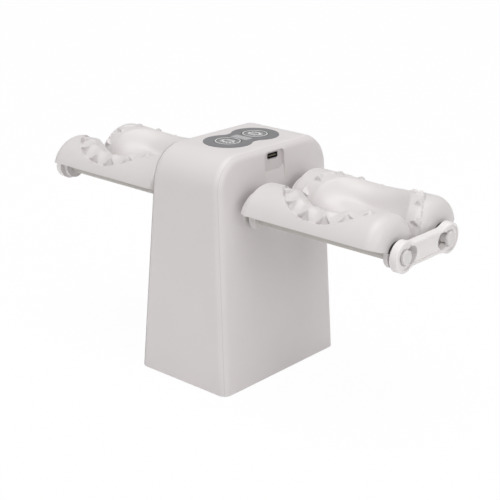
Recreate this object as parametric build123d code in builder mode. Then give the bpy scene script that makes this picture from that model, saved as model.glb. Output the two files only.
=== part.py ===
from build123d import *
import os
from math import atan, cos, pi, radians, sin, sqrt, tan

# Electric dumpling maker: a tower with two arms, each a pair of half-round mould rolls that
# turn against each other. Millimetres, +Z up, X along the arms, origin under the tower.

os.makedirs("parts", exist_ok=True)

# Tower sizes, at table level and at the top
tower_height = 139.5
base_half_x = 34.6
base_half_y = 51.6
top_half_x = 24.9
top_half_y = 48.5
band_radius = 20.0
edge_radius = 5.0
wall = 2.4
seam_inset = 1.5
seam_step = 0.2
lap_gap = 0.1

# Arm sizes
arm_drop = 36.5
roll_spacing = 42.0
seam_gap = 0.4
roll_root_x = 35.4
roll_end_x = 125.5
roll_root_round = 3.0
roll_end_round = 8.0
shell_start = -18.0
shell_sweep = 180.0
skin = 3.0
hub_radius = 7.4
rib_count = 3
rib_width = 2.0
end_wall = 2.6
shoulder_radius = 15.2

# Axle radii and steps
axle_radius = 4.0
journal_radius = 3.0
gear_seat_radius = 3.6
gear_seat_flat = 2.8
collar_radius = 5.4
collar_length = 1.9
neck_radius = 3.0
head_radius = 4.0
head_length = 1.9
head_round = 0.5
running_fit = 0.05
journal_end = 0.5
side_gap = 0.3

# Cavity and crimp sizes
cavity_x = 82.5
cavity_half_length = 41.5
cavity_angle = 145.0
ledge_depth = 0.9
bowl_margin = 7.0
bowl_depth = 11.6
bowl_skin = 1.8
tooth_count = 10
tooth_pitch = 13.6
tooth_base = 9.4
tooth_reach = 6.6
tooth_rise = 1.1
tooth_gap = 0.5
pocket_drop = 0.7

# Gear sizes
gear_module = 1.5
gear_teeth = 28
pinion_teeth = 14
pressure_angle = 25.0
gear_backlash = 0.16
gear_width = 5.0
gear_hub_radius = 7.0
gear_rim = 4.5
web_depth = 1.2

# Inner frame sizes
frame_x = 12.5
frame_thickness = 2.0
frame_boss_radius = 3.2
frame_side_gap = 8.6
frame_drop = 43.0
frame_top_gap = 2.7
boss_inset = 5.0
motor_width = 12.0
motor_height = 10.0
gearbox_length = 9.0
motor_length = 24.0
motor_round = 3.0
motor_collar_radius = 3.0
motor_shaft_radius = 1.5
shaft_depth = 5.0
frame_round = 4.0

# Bushing sizes
bushing_radius = 8.0
bushing_flange_radius = 9.6
bushing_flange = 1.1
bushing_proud = 1.1
wall_boss_radius = 11.0

# End link sizes
link_gap = 2.2
link_thickness = 4.6
eye_radius = 8.8
link_waist = 6.7
link_rim = 1.2
link_recess = 0.7
link_blend = 12.0
link_round = 0.8
keyhole_radius = 5.0
keyhole_reach = 6.1
head_seat_gap = 0.9
head_seat_depth = 1.2

# Control pad sizes
pad_lobe_radius = 14.3
pad_lobe_y = 12.0
pad_waist = 10.8
pad_blend = 5.0
pad_thickness = 1.35
pad_proud = 0.05
pad_gap = 0.1
button_radius = 7.8
button_gap = 0.3
button_thickness = 0.9
button_lift = 0.2
button_round = 0.3
dish_radius = 6.9
dish_depth = 0.3
stem_radius = 2.5
stem_fit = 0.08
clip_radius = 3.3
clip_height = 0.8
clip_bite = 0.6
clip_gap = 0.1
stem_tip = 0.4
window_length = 12.5
window_width = 6.0
window_round = 0.6
window_gap = 0.1
light_pipe_radius = 2.0

# Charging port sizes
port_drop = 6.3
pocket_width = 17.6
pocket_rise = 3.0
pocket_fall = 8.2
pocket_depth = 1.5
pocket_round = 3.0
ramp_length = 10.0
ramp_lap = 2.0
ramp_depth = 0.9
socket_width = 9.5
socket_height = 3.8
socket_shell = 0.3
socket_length = 7.4
socket_round = 1.6
socket_gap = 0.1
socket_recess = 0.2
socket_back = 1.2
tongue_width = 6.7
tongue_height = 0.7

# Circuit board sizes
board_length = 66.0
board_width = 38.0
board_thickness = 1.6
board_post_x = 14.0
board_post_y = 29.0
board_post_radius = 3.0
switch_size = 6.0
switch_height = 3.4
plunger_radius = 1.7
plunger_height = 0.45
board_round = 2.0
chip_size = 10.0
chip_height = 1.4
chip_y = 12.0
light_width = 3.0
light_height = 1.2

# Base and battery sizes
foot_gap = 0.8
foot_radius = 6.0
foot_seat = 0.7
foot_inset_x = 15.6
foot_inset_y = 18.6
cover_thickness = 2.4
cover_gap = 0.2
post_inset_x = 8.2
post_inset_y = 6.0
post_radius = 3.8
post_height = 18.0
cell_radius = 9.2
cell_length = 65.0
cell_spacing = 19.6
cell_gap = 0.15
holder_wall = 2.0
holder_height = 11.0
contact_thickness = 0.8
contact_width = 9.0

# Screw sizes
screw_radius = 1.3
screw_head_radius = 2.6
screw_head = 1.6
screw_gap = 0.2
screw_recess = 0.2
screw_length = 9.0
frame_screw_length = 6.0

# Values worked out from the driving sizes
arm_z = tower_height - arm_drop
port_z = tower_height - port_drop
pocket_top = port_z + pocket_rise
pocket_bottom = port_z - pocket_fall
ramp_top = pocket_bottom + ramp_lap
ramp_bottom = ramp_top - ramp_length
foot_x = base_half_x - foot_inset_x
foot_y = base_half_y - foot_inset_y
post_x = base_half_x - post_inset_x
post_y = base_half_y - post_inset_y
half_spacing = roll_spacing / 2
roll_radius = (roll_spacing - seam_gap) / 2
frame_outer_x = frame_x + frame_thickness
gear_x = frame_outer_x + 1.0
gear_end_x = gear_x + gear_width
flange_x = gear_end_x + side_gap
bushing_x = flange_x + bushing_flange
wall_half_x = base_half_x + (top_half_x - base_half_x) * arm_z / tower_height
bushing_end_x = wall_half_x + bushing_proud
collar_x = bushing_end_x + side_gap
shoulder_x = collar_x + collar_length + side_gap
link_x = roll_end_x + link_gap
link_end_x = link_x + link_thickness
head_x = link_end_x - head_seat_depth + side_gap
motor_z = arm_z - gear_module * (gear_teeth + pinion_teeth) / 2
pad_seat_z = tower_height + pad_proud - pad_thickness
inner_top_z = tower_height - wall
board_top_z = port_z - socket_height / 2
board_z = board_top_z - board_thickness
cover_top_z = foot_gap + cover_thickness
cell_z = cover_top_z + cell_radius + holder_wall
sides = {"right": 1, "left": -1}
rows = {"front": -1, "rear": 1}
frame_half_y = base_half_y - frame_side_gap
frame_low_z = arm_z - frame_drop
frame_top_z = board_z - frame_top_gap
boss_y = frame_half_y - boss_inset
boss_low_z = frame_low_z + boss_inset + 1
frame_bosses = [
    (-boss_y, boss_low_z),
    (boss_y, boss_low_z),
    (0, arm_z - 19),
    (0, frame_top_z - boss_inset - 0.5),
]
frame_corners = [
    (-frame_half_y, frame_low_z),
    (frame_half_y, frame_low_z),
    (frame_half_y, frame_low_z + 16),
    (frame_half_y - 9, arm_z + 7),
    (9, frame_top_z),
    (-9, frame_top_z),
    (9 - frame_half_y, arm_z + 7),
    (-frame_half_y, frame_low_z + 16),
]


def along_x(side, x, y=0.0, z=0.0):
    """A sketch plane facing outward along one arm, with its own X along +Y and its Y upward."""
    plane_x = (0, 1, 0) if side > 0 else (0, -1, 0)
    return Plane(origin=(side * x, y, z), x_dir=plane_x, z_dir=(side, 0, 0))


def radial_plane(row, angle):
    """A plane through a roll's axis: its X runs along the arm, its Y points out at the angle.

    The angle is 0 at the seam, 90 on top and 180 at the outer side.
    """
    turn = radians(angle)
    normal = (0, -sin(turn), -row * cos(turn))
    return Plane(origin=(0, row * half_spacing, arm_z), x_dir=(1, 0, 0), z_dir=normal)


def roll_axis(row):
    """The axis of a roll, directed so that a positive turn goes from the seam over the top."""
    return Axis((0, row * half_spacing, arm_z), (-row, 0, 0))


def side_prism(inset):
    """The tower's side outline, drawn in by a wall thickness and run far along the arms."""
    height = tower_height - inset
    with BuildPart() as prism:
        with BuildSketch(Plane.YZ) as side_view:
            with BuildLine():
                Polyline(
                    (-base_half_y + inset, 0),
                    (base_half_y - inset, 0),
                    (top_half_y - inset, height),
                    (-top_half_y + inset, height),
                    close=True,
                )
            make_face()
            fillet(side_view.vertices().group_by(Axis.Y)[-1], radius=band_radius - inset)
        extrude(amount=2 * base_half_x, both=True)
    return prism.part


def tower_form(inset):
    """The tapered tower with its rounded edges, drawn in by a wall thickness."""
    height = tower_height - inset
    with BuildPart() as form:
        add(side_prism(inset))
        with BuildSketch(Plane.XZ):
            with BuildLine():
                Polyline(
                    (-base_half_x + inset, 0),
                    (base_half_x - inset, 0),
                    (top_half_x - inset, height),
                    (-top_half_x + inset, height),
                    close=True,
                )
            make_face()
        extrude(amount=2 * base_half_y, both=True, mode=Mode.INTERSECT)
        wide_faces = form.faces().sort_by(Axis.X)[0], form.faces().sort_by(Axis.X)[-1]
        rims = [edge for face in wide_faces for edge in face.edges() if edge.center().Z > 1]
        fillet(rims, radius=max(edge_radius - inset, 1.0))
    return form.part


def wall_x_at(z):
    """How far the wide faces stand from the middle at a height."""
    return base_half_x + (top_half_x - base_half_x) * z / tower_height


def cover_zone(side, inset):
    """All the space beyond a plane that runs parallel to one wide face, inset from it."""
    with BuildPart() as zone:
        with BuildSketch(Plane.XZ):
            with BuildLine():
                Polyline(
                    (side * (wall_x_at(-wall) - inset), -wall),
                    (side * (wall_x_at(tower_height + wall) - inset), tower_height + wall),
                    (side * 2 * base_half_x, tower_height + wall),
                    (side * 2 * base_half_x, -wall),
                    close=True,
                )
            make_face()
        extrude(amount=2 * base_half_y, both=True)
    return zone.part


def pad_outline(grow=0.0):
    """The control pad's outline: two round lobes joined by a blended waist."""
    with BuildSketch() as outline:
        with Locations((0, pad_lobe_y), (0, -pad_lobe_y)):
            Circle(pad_lobe_radius)
        Rectangle(2 * pad_waist, pad_lobe_y)
        corners = [v for v in outline.vertices() if abs(abs(v.X) - pad_waist) < 0.01]
        fillet(corners, radius=pad_blend)
        if grow:
            offset(amount=grow)
    return outline.sketch


def turned(side, y, z, steps):
    """A shaft turned in steps: each step is a start, an end and a radius along the arm."""
    points = [(steps[0][0], 0)]
    for start, end, radius in steps:
        points += [(start, radius), (end, radius)]
    points.append((steps[-1][1], 0))
    with BuildPart() as shaft:
        plane = Plane(origin=(0, y, z), x_dir=(side, 0, 0), z_dir=(0, -side, 0))
        with BuildSketch(plane):
            with BuildLine():
                Polyline(*points, close=True)
            make_face()
        revolve(axis=Axis((0, y, z), (1, 0, 0)))
    return shaft.part


def face_plane(z, depth):
    """A sketch plane parallel to the right wide face, sunk into it by a depth."""
    slope = (base_half_x - top_half_x) / tower_height
    normal = Vector(1, 0, slope).normalized()
    origin = Vector(wall_x_at(z), 0, z) - normal * depth
    return Plane(origin=origin, x_dir=(0, 1, 0), z_dir=normal)


def gear_outline(teeth, phase):
    """The outline points of an involute gear, with a tooth centred at the phase angle."""
    pitch_radius = gear_module * teeth / 2
    base_radius = pitch_radius * cos(radians(pressure_angle))
    root_radius = pitch_radius - 1.25 * gear_module
    tip_radius = pitch_radius + gear_module
    half_pitch = pi / (2 * teeth) - gear_backlash / (2 * pitch_radius)
    pitch_roll = tan(radians(pressure_angle)) - radians(pressure_angle)
    start_radius = max(base_radius, root_radius + 0.2)
    flank = []
    for step in range(4):
        radius = start_radius + (tip_radius - start_radius) * step / 3
        tangent = sqrt(radius ** 2 - base_radius ** 2) / base_radius
        flank.append((radius, half_pitch + pitch_roll - tangent + atan(tangent)))
    flank.insert(0, (root_radius, flank[0][1]))
    points = []
    for tooth in range(teeth):
        centre = radians(phase) + 2 * pi * tooth / teeth
        for radius, half in flank:
            points.append((radius * cos(centre - half), radius * sin(centre - half)))
        for radius, half in reversed(flank):
            points.append((radius * cos(centre + half), radius * sin(centre + half)))
    return points


def toothed_rim(teeth, phase, inner_radius):
    """The toothed ring of a wheel, centred on the arm's middle line and as wide as the gears."""
    with BuildPart() as rim:
        with BuildSketch(Plane.YZ):
            Polygon(*gear_outline(teeth, phase), align=None)
            Circle(inner_radius, mode=Mode.SUBTRACT)
        extrude(amount=gear_width)
    return rim.part


def gear_place(side, y, z):
    """Where a toothed ring sits in one arm's gear planes."""
    start = gear_x if side > 0 else -gear_end_x
    return Location((start, y, z))


def half_turned(row, points, corners=()):
    """A half-turned solid about a roll's axis, from the seam edge over the top to the far edge."""
    with BuildPart() as solid:
        with BuildSketch(radial_plane(row, shell_start)) as section:
            Polygon(*points, align=None)
            for radius, x in corners:
                near = [v for v in section.vertices() if abs(v.X - x) < 0.01]
                fillet(max(near, key=lambda v: v.Y), radius=radius)
        revolve(axis=roll_axis(row), revolution_arc=shell_sweep)
    return solid.part


def ring(row, low, high):
    """A tube about a roll's axis, between two radii, long enough for the cavity."""
    reach = cavity_half_length + 2
    with BuildPart() as tube:
        with BuildSketch(along_x(1, cavity_x - reach, row * half_spacing, arm_z)):
            Circle(high)
            Circle(low, mode=Mode.SUBTRACT)
        extrude(amount=2 * reach)
    return tube.part


def cavity_ledge(row):
    """The half-moon ledge cut into the roll's skin, open toward the seam."""
    middle = roll_radius - ledge_depth
    stations = [(-8.0, cavity_half_length)]
    for turn in range(90, 4, -8):
        turned_angle = radians(turn)
        stations.append((cavity_angle * cos(turned_angle), cavity_half_length * sin(turned_angle)))
    with BuildPart() as wedge:
        for angle, half_width in stations:
            with BuildSketch(radial_plane(row, angle)):
                with Locations((cavity_x, middle)):
                    Rectangle(2 * half_width, 6.0)
        loft(ruled=True)
        add(ring(row, middle, roll_radius + 2), mode=Mode.INTERSECT)
    return wedge.part


def cavity_bowl(row, grow):
    """The bowl inside the ledge, grown by a skin when it is used as the backing."""
    margin_angle = bowl_margin / roll_radius * 180 / pi
    reach_angle = cavity_angle - margin_angle
    with BuildPart() as bowl:
        for share in (0.02, 0.2, 0.4, 0.6, 0.8, 0.97):
            angle = reach_angle * share
            if share < 0.1:
                angle = angle - grow * 3
            if share > 0.9:
                angle = angle + grow * 3
            half_width = (cavity_half_length - bowl_margin) * sqrt(1 - share ** 2) + grow
            depth = bowl_depth * sin(pi * share) + grow
            with BuildSketch(radial_plane(row, angle)):
                with BuildLine():
                    ThreePointArc(
                        (cavity_x - half_width, roll_radius),
                        (cavity_x, roll_radius - depth),
                        (cavity_x + half_width, roll_radius),
                    )
                    Polyline(
                        (cavity_x + half_width, roll_radius),
                        (cavity_x + half_width, roll_radius + 2),
                        (cavity_x - half_width, roll_radius + 2),
                        (cavity_x - half_width, roll_radius),
                    )
                make_face()
        loft()
    return bowl.part


def rim_point(turn):
    """A point of the cavity's rim, unrolled: along the arm, and round the roll from the seam."""
    around = roll_radius * radians(cavity_angle)
    return cavity_half_length * sin(turn), around * cos(turn)


def crimp_turns():
    """The rim parameters of every tooth: its first corner, its middle and its last corner."""
    samples = 720
    lengths = [0.0]
    turns = [-pi / 2 + pi * step / samples for step in range(samples + 1)]
    for before, after in zip(turns, turns[1:]):
        x0, s0 = rim_point(before)
        x1, s1 = rim_point(after)
        lengths.append(lengths[-1] + sqrt((x1 - x0) ** 2 + (s1 - s0) ** 2))

    def turn_at(length):
        nearest = min(range(samples + 1), key=lambda index: abs(lengths[index] - length))
        return turns[nearest]

    found = []
    for tooth in range(tooth_count):
        middle = lengths[-1] / 2 + (tooth - (tooth_count - 1) / 2) * tooth_pitch
        corners = middle - tooth_base / 2, middle, middle + tooth_base / 2
        found.append([turn_at(corner) for corner in corners])
    return found


def crimp_teeth(row, shrink, low, high):
    """The triangular crimp teeth along the rim, between two radii."""
    with BuildPart() as teeth:
        for first, middle, last in crimp_turns():
            x_mid, s_mid = rim_point(middle)
            x_first, s_first = rim_point(first)
            x_last, s_last = rim_point(last)
            along_x_part = (x_last - x_first) / sqrt((x_last - x_first) ** 2 + (s_last - s_first) ** 2)
            along_s_part = (s_last - s_first) / sqrt((x_last - x_first) ** 2 + (s_last - s_first) ** 2)
            x_tip = x_mid + tooth_reach * along_s_part
            s_tip = s_mid - tooth_reach * along_x_part
            angle = s_mid / roll_radius
            out = Vector(0, -row * cos(angle), sin(angle))
            origin = Vector(cavity_x + x_mid, row * half_spacing, arm_z) + out * (low - 2)
            corners = []
            for x, s in ((x_first, s_first), (x_last, s_last), (x_tip, s_tip)):
                rise = roll_radius * sin((s - s_mid) / roll_radius)
                corners.append((x - x_mid, row * rise))
            with BuildSketch(Plane(origin=origin, x_dir=(1, 0, 0), z_dir=out)):
                Polygon(*corners, align=None)
                if shrink:
                    offset(amount=-shrink, kind=Kind.INTERSECTION)
            extrude(amount=high - low + 4)
        add(ring(row, low, high), mode=Mode.INTERSECT)
    return teeth.part


outer_form = tower_form(0)
band_form = tower_form(seam_step)

# Everything that is cut from the band and the side covers
with BuildPart() as tower_cuts:
    with BuildSketch(Plane.XY):
        Rectangle(3 * base_half_x, 3 * base_half_y)
    extrude(amount=foot_gap)
    for side in sides.values():
        with BuildSketch(along_x(side, frame_outer_x)):
            with Locations(*frame_bosses):
                Circle(screw_radius)
        extrude(amount=frame_screw_length - frame_thickness + 0.5)
        with BuildSketch(along_x(side, flange_x, 0, arm_z)):
            with Locations((-half_spacing, 0), (half_spacing, 0)):
                Circle(bushing_radius)
        extrude(amount=base_half_x)
    with BuildSketch(Plane.XY.offset(board_top_z)):
        with GridLocations(2 * board_post_x, 2 * board_post_y, 2, 2):
            Circle(screw_radius)
    extrude(amount=frame_screw_length - board_thickness + 0.5)
    with BuildSketch(Plane.XY.offset(cover_top_z)):
        with GridLocations(2 * post_x, 2 * post_y, 2, 2):
            Circle(screw_radius)
    extrude(amount=screw_length)
    with BuildSketch(Plane.XY.offset(pad_seat_z)):
        add(pad_outline(pad_gap))
    extrude(amount=2 * wall)
    with BuildSketch(Plane.XY.offset(board_top_z)):
        with Locations((0, pad_lobe_y), (0, -pad_lobe_y)):
            Circle(stem_radius + stem_fit)
        Circle(light_pipe_radius + window_gap)
    extrude(amount=tower_height - board_top_z)
    with BuildSketch(face_plane(port_z, pocket_depth)):
        with Locations((0, (pocket_top + pocket_bottom) / 2 - port_z)):
            RectangleRounded(pocket_width, pocket_top - pocket_bottom, pocket_round)
    extrude(amount=3 * pocket_depth)
    with BuildSketch(Plane.XZ):
        with BuildLine():
            Polyline(
                (wall_x_at(ramp_bottom), ramp_bottom),
                (wall_x_at(ramp_top) - ramp_depth, ramp_top),
                (wall_x_at(ramp_top) + 2, ramp_top),
                (wall_x_at(ramp_bottom) + 2, ramp_bottom),
                close=True,
            )
        make_face()
    extrude(amount=pocket_width / 2, both=True)
    with BuildSketch(along_x(1, board_width / 2, 0, port_z)):
        RectangleRounded(socket_width + 2 * socket_gap, socket_height + 2 * socket_gap, socket_round)
    extrude(amount=base_half_x)

# Tower band, the narrow faces and the top in one strip, with the board posts and base posts
with BuildPart() as tower_band:
    with BuildSketch(Plane.XY.offset(board_top_z)):
        with GridLocations(2 * board_post_x, 2 * board_post_y, 2, 2):
            Circle(board_post_radius)
    extrude(amount=tower_height)
    with BuildSketch(Plane.XY.offset(cover_top_z)):
        with GridLocations(2 * post_x, 2 * post_y, 2, 2):
            Circle(post_radius)
    extrude(amount=post_height)
    add(band_form, mode=Mode.INTERSECT)
    add(band_form - side_prism(wall))
    add(cover_zone(1, seam_inset), mode=Mode.SUBTRACT)
    add(cover_zone(-1, seam_inset), mode=Mode.SUBTRACT)
    add(tower_cuts.part, mode=Mode.SUBTRACT)
tower_band.part.label = "tower_band"
export_step(tower_band.part, "parts/tower_band.step")

# Side covers, the two wide faces, lapped over the band's edges, with the gear frame's bosses
inner_prism = side_prism(wall + lap_gap)
for side_name, side in sides.items():
    with BuildPart() as side_cover:
        with BuildSketch(along_x(side, frame_outer_x)):
            with Locations(*frame_bosses):
                Circle(frame_boss_radius)
        extrude(amount=base_half_x)
        with BuildSketch(along_x(side, bushing_x, 0, arm_z)):
            with Locations((-half_spacing, 0), (half_spacing, 0)):
                Circle(wall_boss_radius)
        extrude(amount=base_half_x)
        add(cover_zone(side, wall) & inner_prism)
        add(cover_zone(side, seam_inset))
        add(outer_form, mode=Mode.INTERSECT)
        add(tower_cuts.part, mode=Mode.SUBTRACT)
    side_cover.part.label = f"side_cover_{side_name}"
    export_step(side_cover.part, f"parts/side_cover_{side_name}.step")

# Base cover, closing the tower from below
with BuildPart() as base_cover:
    add(tower_form(wall + cover_gap))
    with BuildSketch(Plane.XY.offset(foot_gap)):
        Rectangle(3 * base_half_x, 3 * base_half_y)
    extrude(amount=cover_thickness, mode=Mode.INTERSECT)
    with BuildSketch(Plane.XY.offset(foot_gap)):
        with GridLocations(2 * foot_x, 2 * foot_y, 2, 2):
            Circle(foot_radius)
    extrude(amount=foot_seat, mode=Mode.SUBTRACT)
    with BuildSketch(Plane.XY.offset(foot_gap)):
        with GridLocations(2 * post_x, 2 * post_y, 2, 2):
            Circle(screw_radius + screw_gap)
    extrude(amount=cover_thickness, mode=Mode.SUBTRACT)
    with BuildSketch(Plane.XY.offset(foot_gap)):
        with GridLocations(2 * post_x, 2 * post_y, 2, 2):
            Circle(screw_head_radius + screw_gap)
    extrude(amount=screw_head, mode=Mode.SUBTRACT)
base_cover.part.label = "base_cover"
export_step(base_cover.part, "parts/base_cover.step")

# Four rubber feet, sunk into the cover
with BuildPart() as rubber_feet:
    with BuildSketch(Plane.XY):
        with GridLocations(2 * foot_x, 2 * foot_y, 2, 2):
            Circle(foot_radius)
    extrude(amount=foot_gap + foot_seat)
rubber_feet.part.label = "rubber_feet"
export_step(rubber_feet.part, "parts/rubber_feet.step")

# Four screws that hold the cover, heads down
with BuildPart() as base_screws:
    with BuildSketch(Plane.XY.offset(foot_gap + screw_recess)):
        with GridLocations(2 * post_x, 2 * post_y, 2, 2):
            Circle(screw_head_radius)
    extrude(amount=screw_head - screw_recess)
    with BuildSketch(Plane.XY.offset(foot_gap + screw_head)):
        with GridLocations(2 * post_x, 2 * post_y, 2, 2):
            Circle(screw_radius)
    extrude(amount=screw_length)
base_screws.part.label = "base_screws"
export_step(base_screws.part, "parts/base_screws.step")

# Control pad, set into the tower's top
with BuildPart() as control_pad:
    with BuildSketch(Plane.XY.offset(pad_seat_z)):
        add(pad_outline())
        with Locations((0, pad_lobe_y), (0, -pad_lobe_y)):
            Circle(button_radius + button_gap, mode=Mode.SUBTRACT)
        RectangleRounded(window_length, window_width, window_round, mode=Mode.SUBTRACT)
    extrude(amount=pad_thickness)
control_pad.part.label = "control_pad"
export_step(control_pad.part, "parts/control_pad.step")

# Light window with its light pipe down to the board
with BuildPart() as light_window:
    with BuildSketch(Plane.XY.offset(pad_seat_z)):
        RectangleRounded(window_length, window_width, window_round)
    extrude(amount=pad_thickness)
    with BuildSketch(Plane.XY.offset(board_top_z + light_height + 0.2)):
        Circle(light_pipe_radius)
    extrude(until=Until.NEXT)
light_window.part.label = "light_window"
export_step(light_window.part, "parts/light_window.step")

# The two buttons, each with a stem through the tower's top and a clip under it
button_top_z = tower_height + pad_proud + button_lift
button_low_z = button_top_z - button_thickness
clip_z = inner_top_z - clip_gap - clip_height
for row_name, row in rows.items():
    with BuildPart() as button:
        with BuildSketch(Plane.XY.offset(button_low_z)):
            with Locations((0, row * pad_lobe_y)):
                Circle(button_radius)
        extrude(amount=button_thickness)
        top_rim = button.edges().group_by(Axis.Z)[-1]
        fillet(top_rim, radius=button_round)
        with BuildSketch(Plane.XY.offset(button_top_z - dish_depth)):
            with Locations((0, row * pad_lobe_y)):
                Circle(dish_radius)
        extrude(amount=dish_depth, mode=Mode.SUBTRACT)
        with BuildSketch(Plane.XY.offset(clip_z - stem_tip)):
            with Locations((0, row * pad_lobe_y)):
                Circle(stem_radius)
        extrude(amount=button_low_z - clip_z + stem_tip)
        with BuildSketch(Plane.XY.offset(clip_z)):
            with Locations((0, row * pad_lobe_y)):
                Circle(stem_radius)
                Circle(stem_radius - clip_bite, mode=Mode.SUBTRACT)
        extrude(amount=clip_height, mode=Mode.SUBTRACT)
    button.part.label = f"button_{row_name}"
    export_step(button.part, f"parts/button_{row_name}.step")
    with BuildPart() as button_clip:
        with BuildSketch(Plane.XY.offset(clip_z)):
            with Locations((0, row * pad_lobe_y)):
                Circle(clip_radius)
                Circle(stem_radius - clip_bite, mode=Mode.SUBTRACT)
        extrude(amount=clip_height)
    button_clip.part.label = f"button_clip_{row_name}"
    export_step(button_clip.part, f"parts/button_clip_{row_name}.step")

# Control board, hung from the tower's top by four posts
with BuildPart() as control_board:
    with BuildSketch(Plane.XY.offset(board_z)):
        RectangleRounded(board_width, board_length, board_round)
        with GridLocations(2 * board_post_x, 2 * board_post_y, 2, 2):
            Circle(screw_radius + screw_gap, mode=Mode.SUBTRACT)
    extrude(amount=board_thickness)
    with BuildSketch(Plane.XY.offset(board_z)):
        with Locations((0, chip_y), (0, -chip_y)):
            Rectangle(chip_size, chip_size)
    extrude(amount=-chip_height)
control_board.part.label = "control_board"
export_step(control_board.part, "parts/control_board.step")

# Four screws that hold the board, heads down
with BuildPart() as board_screws:
    with BuildSketch(Plane.XY.offset(board_z)):
        with GridLocations(2 * board_post_x, 2 * board_post_y, 2, 2):
            Circle(screw_head_radius)
    extrude(amount=-screw_head)
    with BuildSketch(Plane.XY.offset(board_z)):
        with GridLocations(2 * board_post_x, 2 * board_post_y, 2, 2):
            Circle(screw_radius)
    extrude(amount=frame_screw_length)
board_screws.part.label = "board_screws"
export_step(board_screws.part, "parts/board_screws.step")

# Two push switches under the button stems
with BuildPart() as push_switches:
    for y in (-pad_lobe_y, pad_lobe_y):
        with BuildSketch(Plane.XY.offset(board_top_z)):
            with Locations((0, y)):
                Rectangle(switch_size, switch_size)
        extrude(amount=switch_height)
        with BuildSketch(Plane.XY.offset(board_top_z + switch_height)):
            with Locations((0, y)):
                Circle(plunger_radius)
        extrude(amount=plunger_height)
push_switches.part.label = "push_switches"
export_step(push_switches.part, "parts/push_switches.step")

# Indicator light on the board, under the light pipe
with BuildPart() as indicator_light:
    with BuildSketch(Plane.XY.offset(board_top_z)):
        Rectangle(light_width, light_width)
    extrude(amount=light_height)
indicator_light.part.label = "indicator_light"
export_step(indicator_light.part, "parts/indicator_light.step")

# Charging socket, a shell with a tongue inside
socket_end_x = wall_x_at(port_z) - pocket_depth - socket_recess
with BuildPart() as charging_socket:
    with BuildSketch(along_x(1, socket_end_x - socket_length, 0, port_z)):
        RectangleRounded(socket_width, socket_height, socket_round - socket_gap)
    extrude(amount=socket_length)
    with BuildSketch(along_x(1, socket_end_x - socket_length + socket_back, 0, port_z)):
        mouth_width = socket_width - 2 * socket_shell
        mouth_height = socket_height - 2 * socket_shell
        RectangleRounded(mouth_width, mouth_height, mouth_height / 2 - 0.05)
        RectangleRounded(tongue_width, tongue_height, tongue_height / 3, mode=Mode.SUBTRACT)
    extrude(amount=socket_length, mode=Mode.SUBTRACT)
charging_socket.part.label = "charging_socket"
export_step(charging_socket.part, "parts/charging_socket.step")

# Battery holder, a tray on the base cover with a trough for each cell
holder_half_y = cell_length / 2 + contact_thickness + cell_gap
holder_width = cell_spacing + 2 * (cell_radius + holder_wall)
with BuildPart() as battery_holder:
    with BuildSketch(Plane.XY.offset(cover_top_z)):
        Rectangle(holder_width, 2 * (holder_half_y + holder_wall))
    extrude(amount=holder_height)
    with BuildSketch(Plane(origin=(0, holder_half_y, cell_z), x_dir=(1, 0, 0), z_dir=(0, -1, 0))):
        with Locations((-cell_spacing / 2, 0), (cell_spacing / 2, 0)):
            Circle(cell_radius)
            with Locations((0, cell_radius)):
                Rectangle(2 * cell_radius, 2 * cell_radius)
    extrude(amount=2 * holder_half_y, mode=Mode.SUBTRACT)
battery_holder.part.label = "battery_holder"
export_step(battery_holder.part, "parts/battery_holder.step")

# Two battery cells lying along the tower's depth
with BuildPart() as battery_cells:
    with BuildSketch(Plane(origin=(0, cell_length / 2, cell_z), x_dir=(1, 0, 0), z_dir=(0, -1, 0))):
        with Locations((-cell_spacing / 2, 0), (cell_spacing / 2, 0)):
            Circle(cell_radius)
    extrude(amount=cell_length)
battery_cells.part.label = "battery_cells"
export_step(battery_cells.part, "parts/battery_cells.step")

# Four contact plates at the ends of the cells
with BuildPart() as battery_contacts:
    for way in (-1, 1):
        start = Plane(origin=(0, way * holder_half_y, cell_z), x_dir=(1, 0, 0), z_dir=(0, -way, 0))
        with BuildSketch(start):
            with Locations((-cell_spacing / 2, 0), (cell_spacing / 2, 0)):
                Rectangle(contact_width, contact_width)
        extrude(amount=contact_thickness)
battery_contacts.part.label = "battery_contacts"
export_step(battery_contacts.part, "parts/battery_contacts.step")

# Gear frames, one plate for each arm, with a bearing hole for each axle
for side_name, side in sides.items():
    with BuildPart() as gear_frame:
        with BuildSketch(along_x(side, frame_x)) as plate:
            Polygon(*frame_corners, align=None)
            fillet(plate.vertices(), radius=frame_round)
            with Locations(*frame_bosses):
                Circle(screw_radius + screw_gap, mode=Mode.SUBTRACT)
            with Locations((-half_spacing, arm_z), (half_spacing, arm_z)):
                Circle(journal_radius + running_fit, mode=Mode.SUBTRACT)
            with Locations((-half_spacing, motor_z)):
                Circle(motor_collar_radius, mode=Mode.SUBTRACT)
        extrude(amount=frame_thickness)
    gear_frame.part.label = f"gear_frame_{side_name}"
    export_step(gear_frame.part, f"parts/gear_frame_{side_name}.step")

# Eight screws that hold the gear frames
with BuildPart() as frame_screws:
    for side in sides.values():
        with BuildSketch(along_x(side, frame_x - screw_head)):
            with Locations(*frame_bosses):
                Circle(screw_head_radius)
        extrude(amount=screw_head)
        with BuildSketch(along_x(side, frame_x)):
            with Locations(*frame_bosses):
                Circle(screw_radius)
        extrude(amount=frame_screw_length)
frame_screws.part.label = "frame_screws"
export_step(frame_screws.part, "parts/frame_screws.step")

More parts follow.
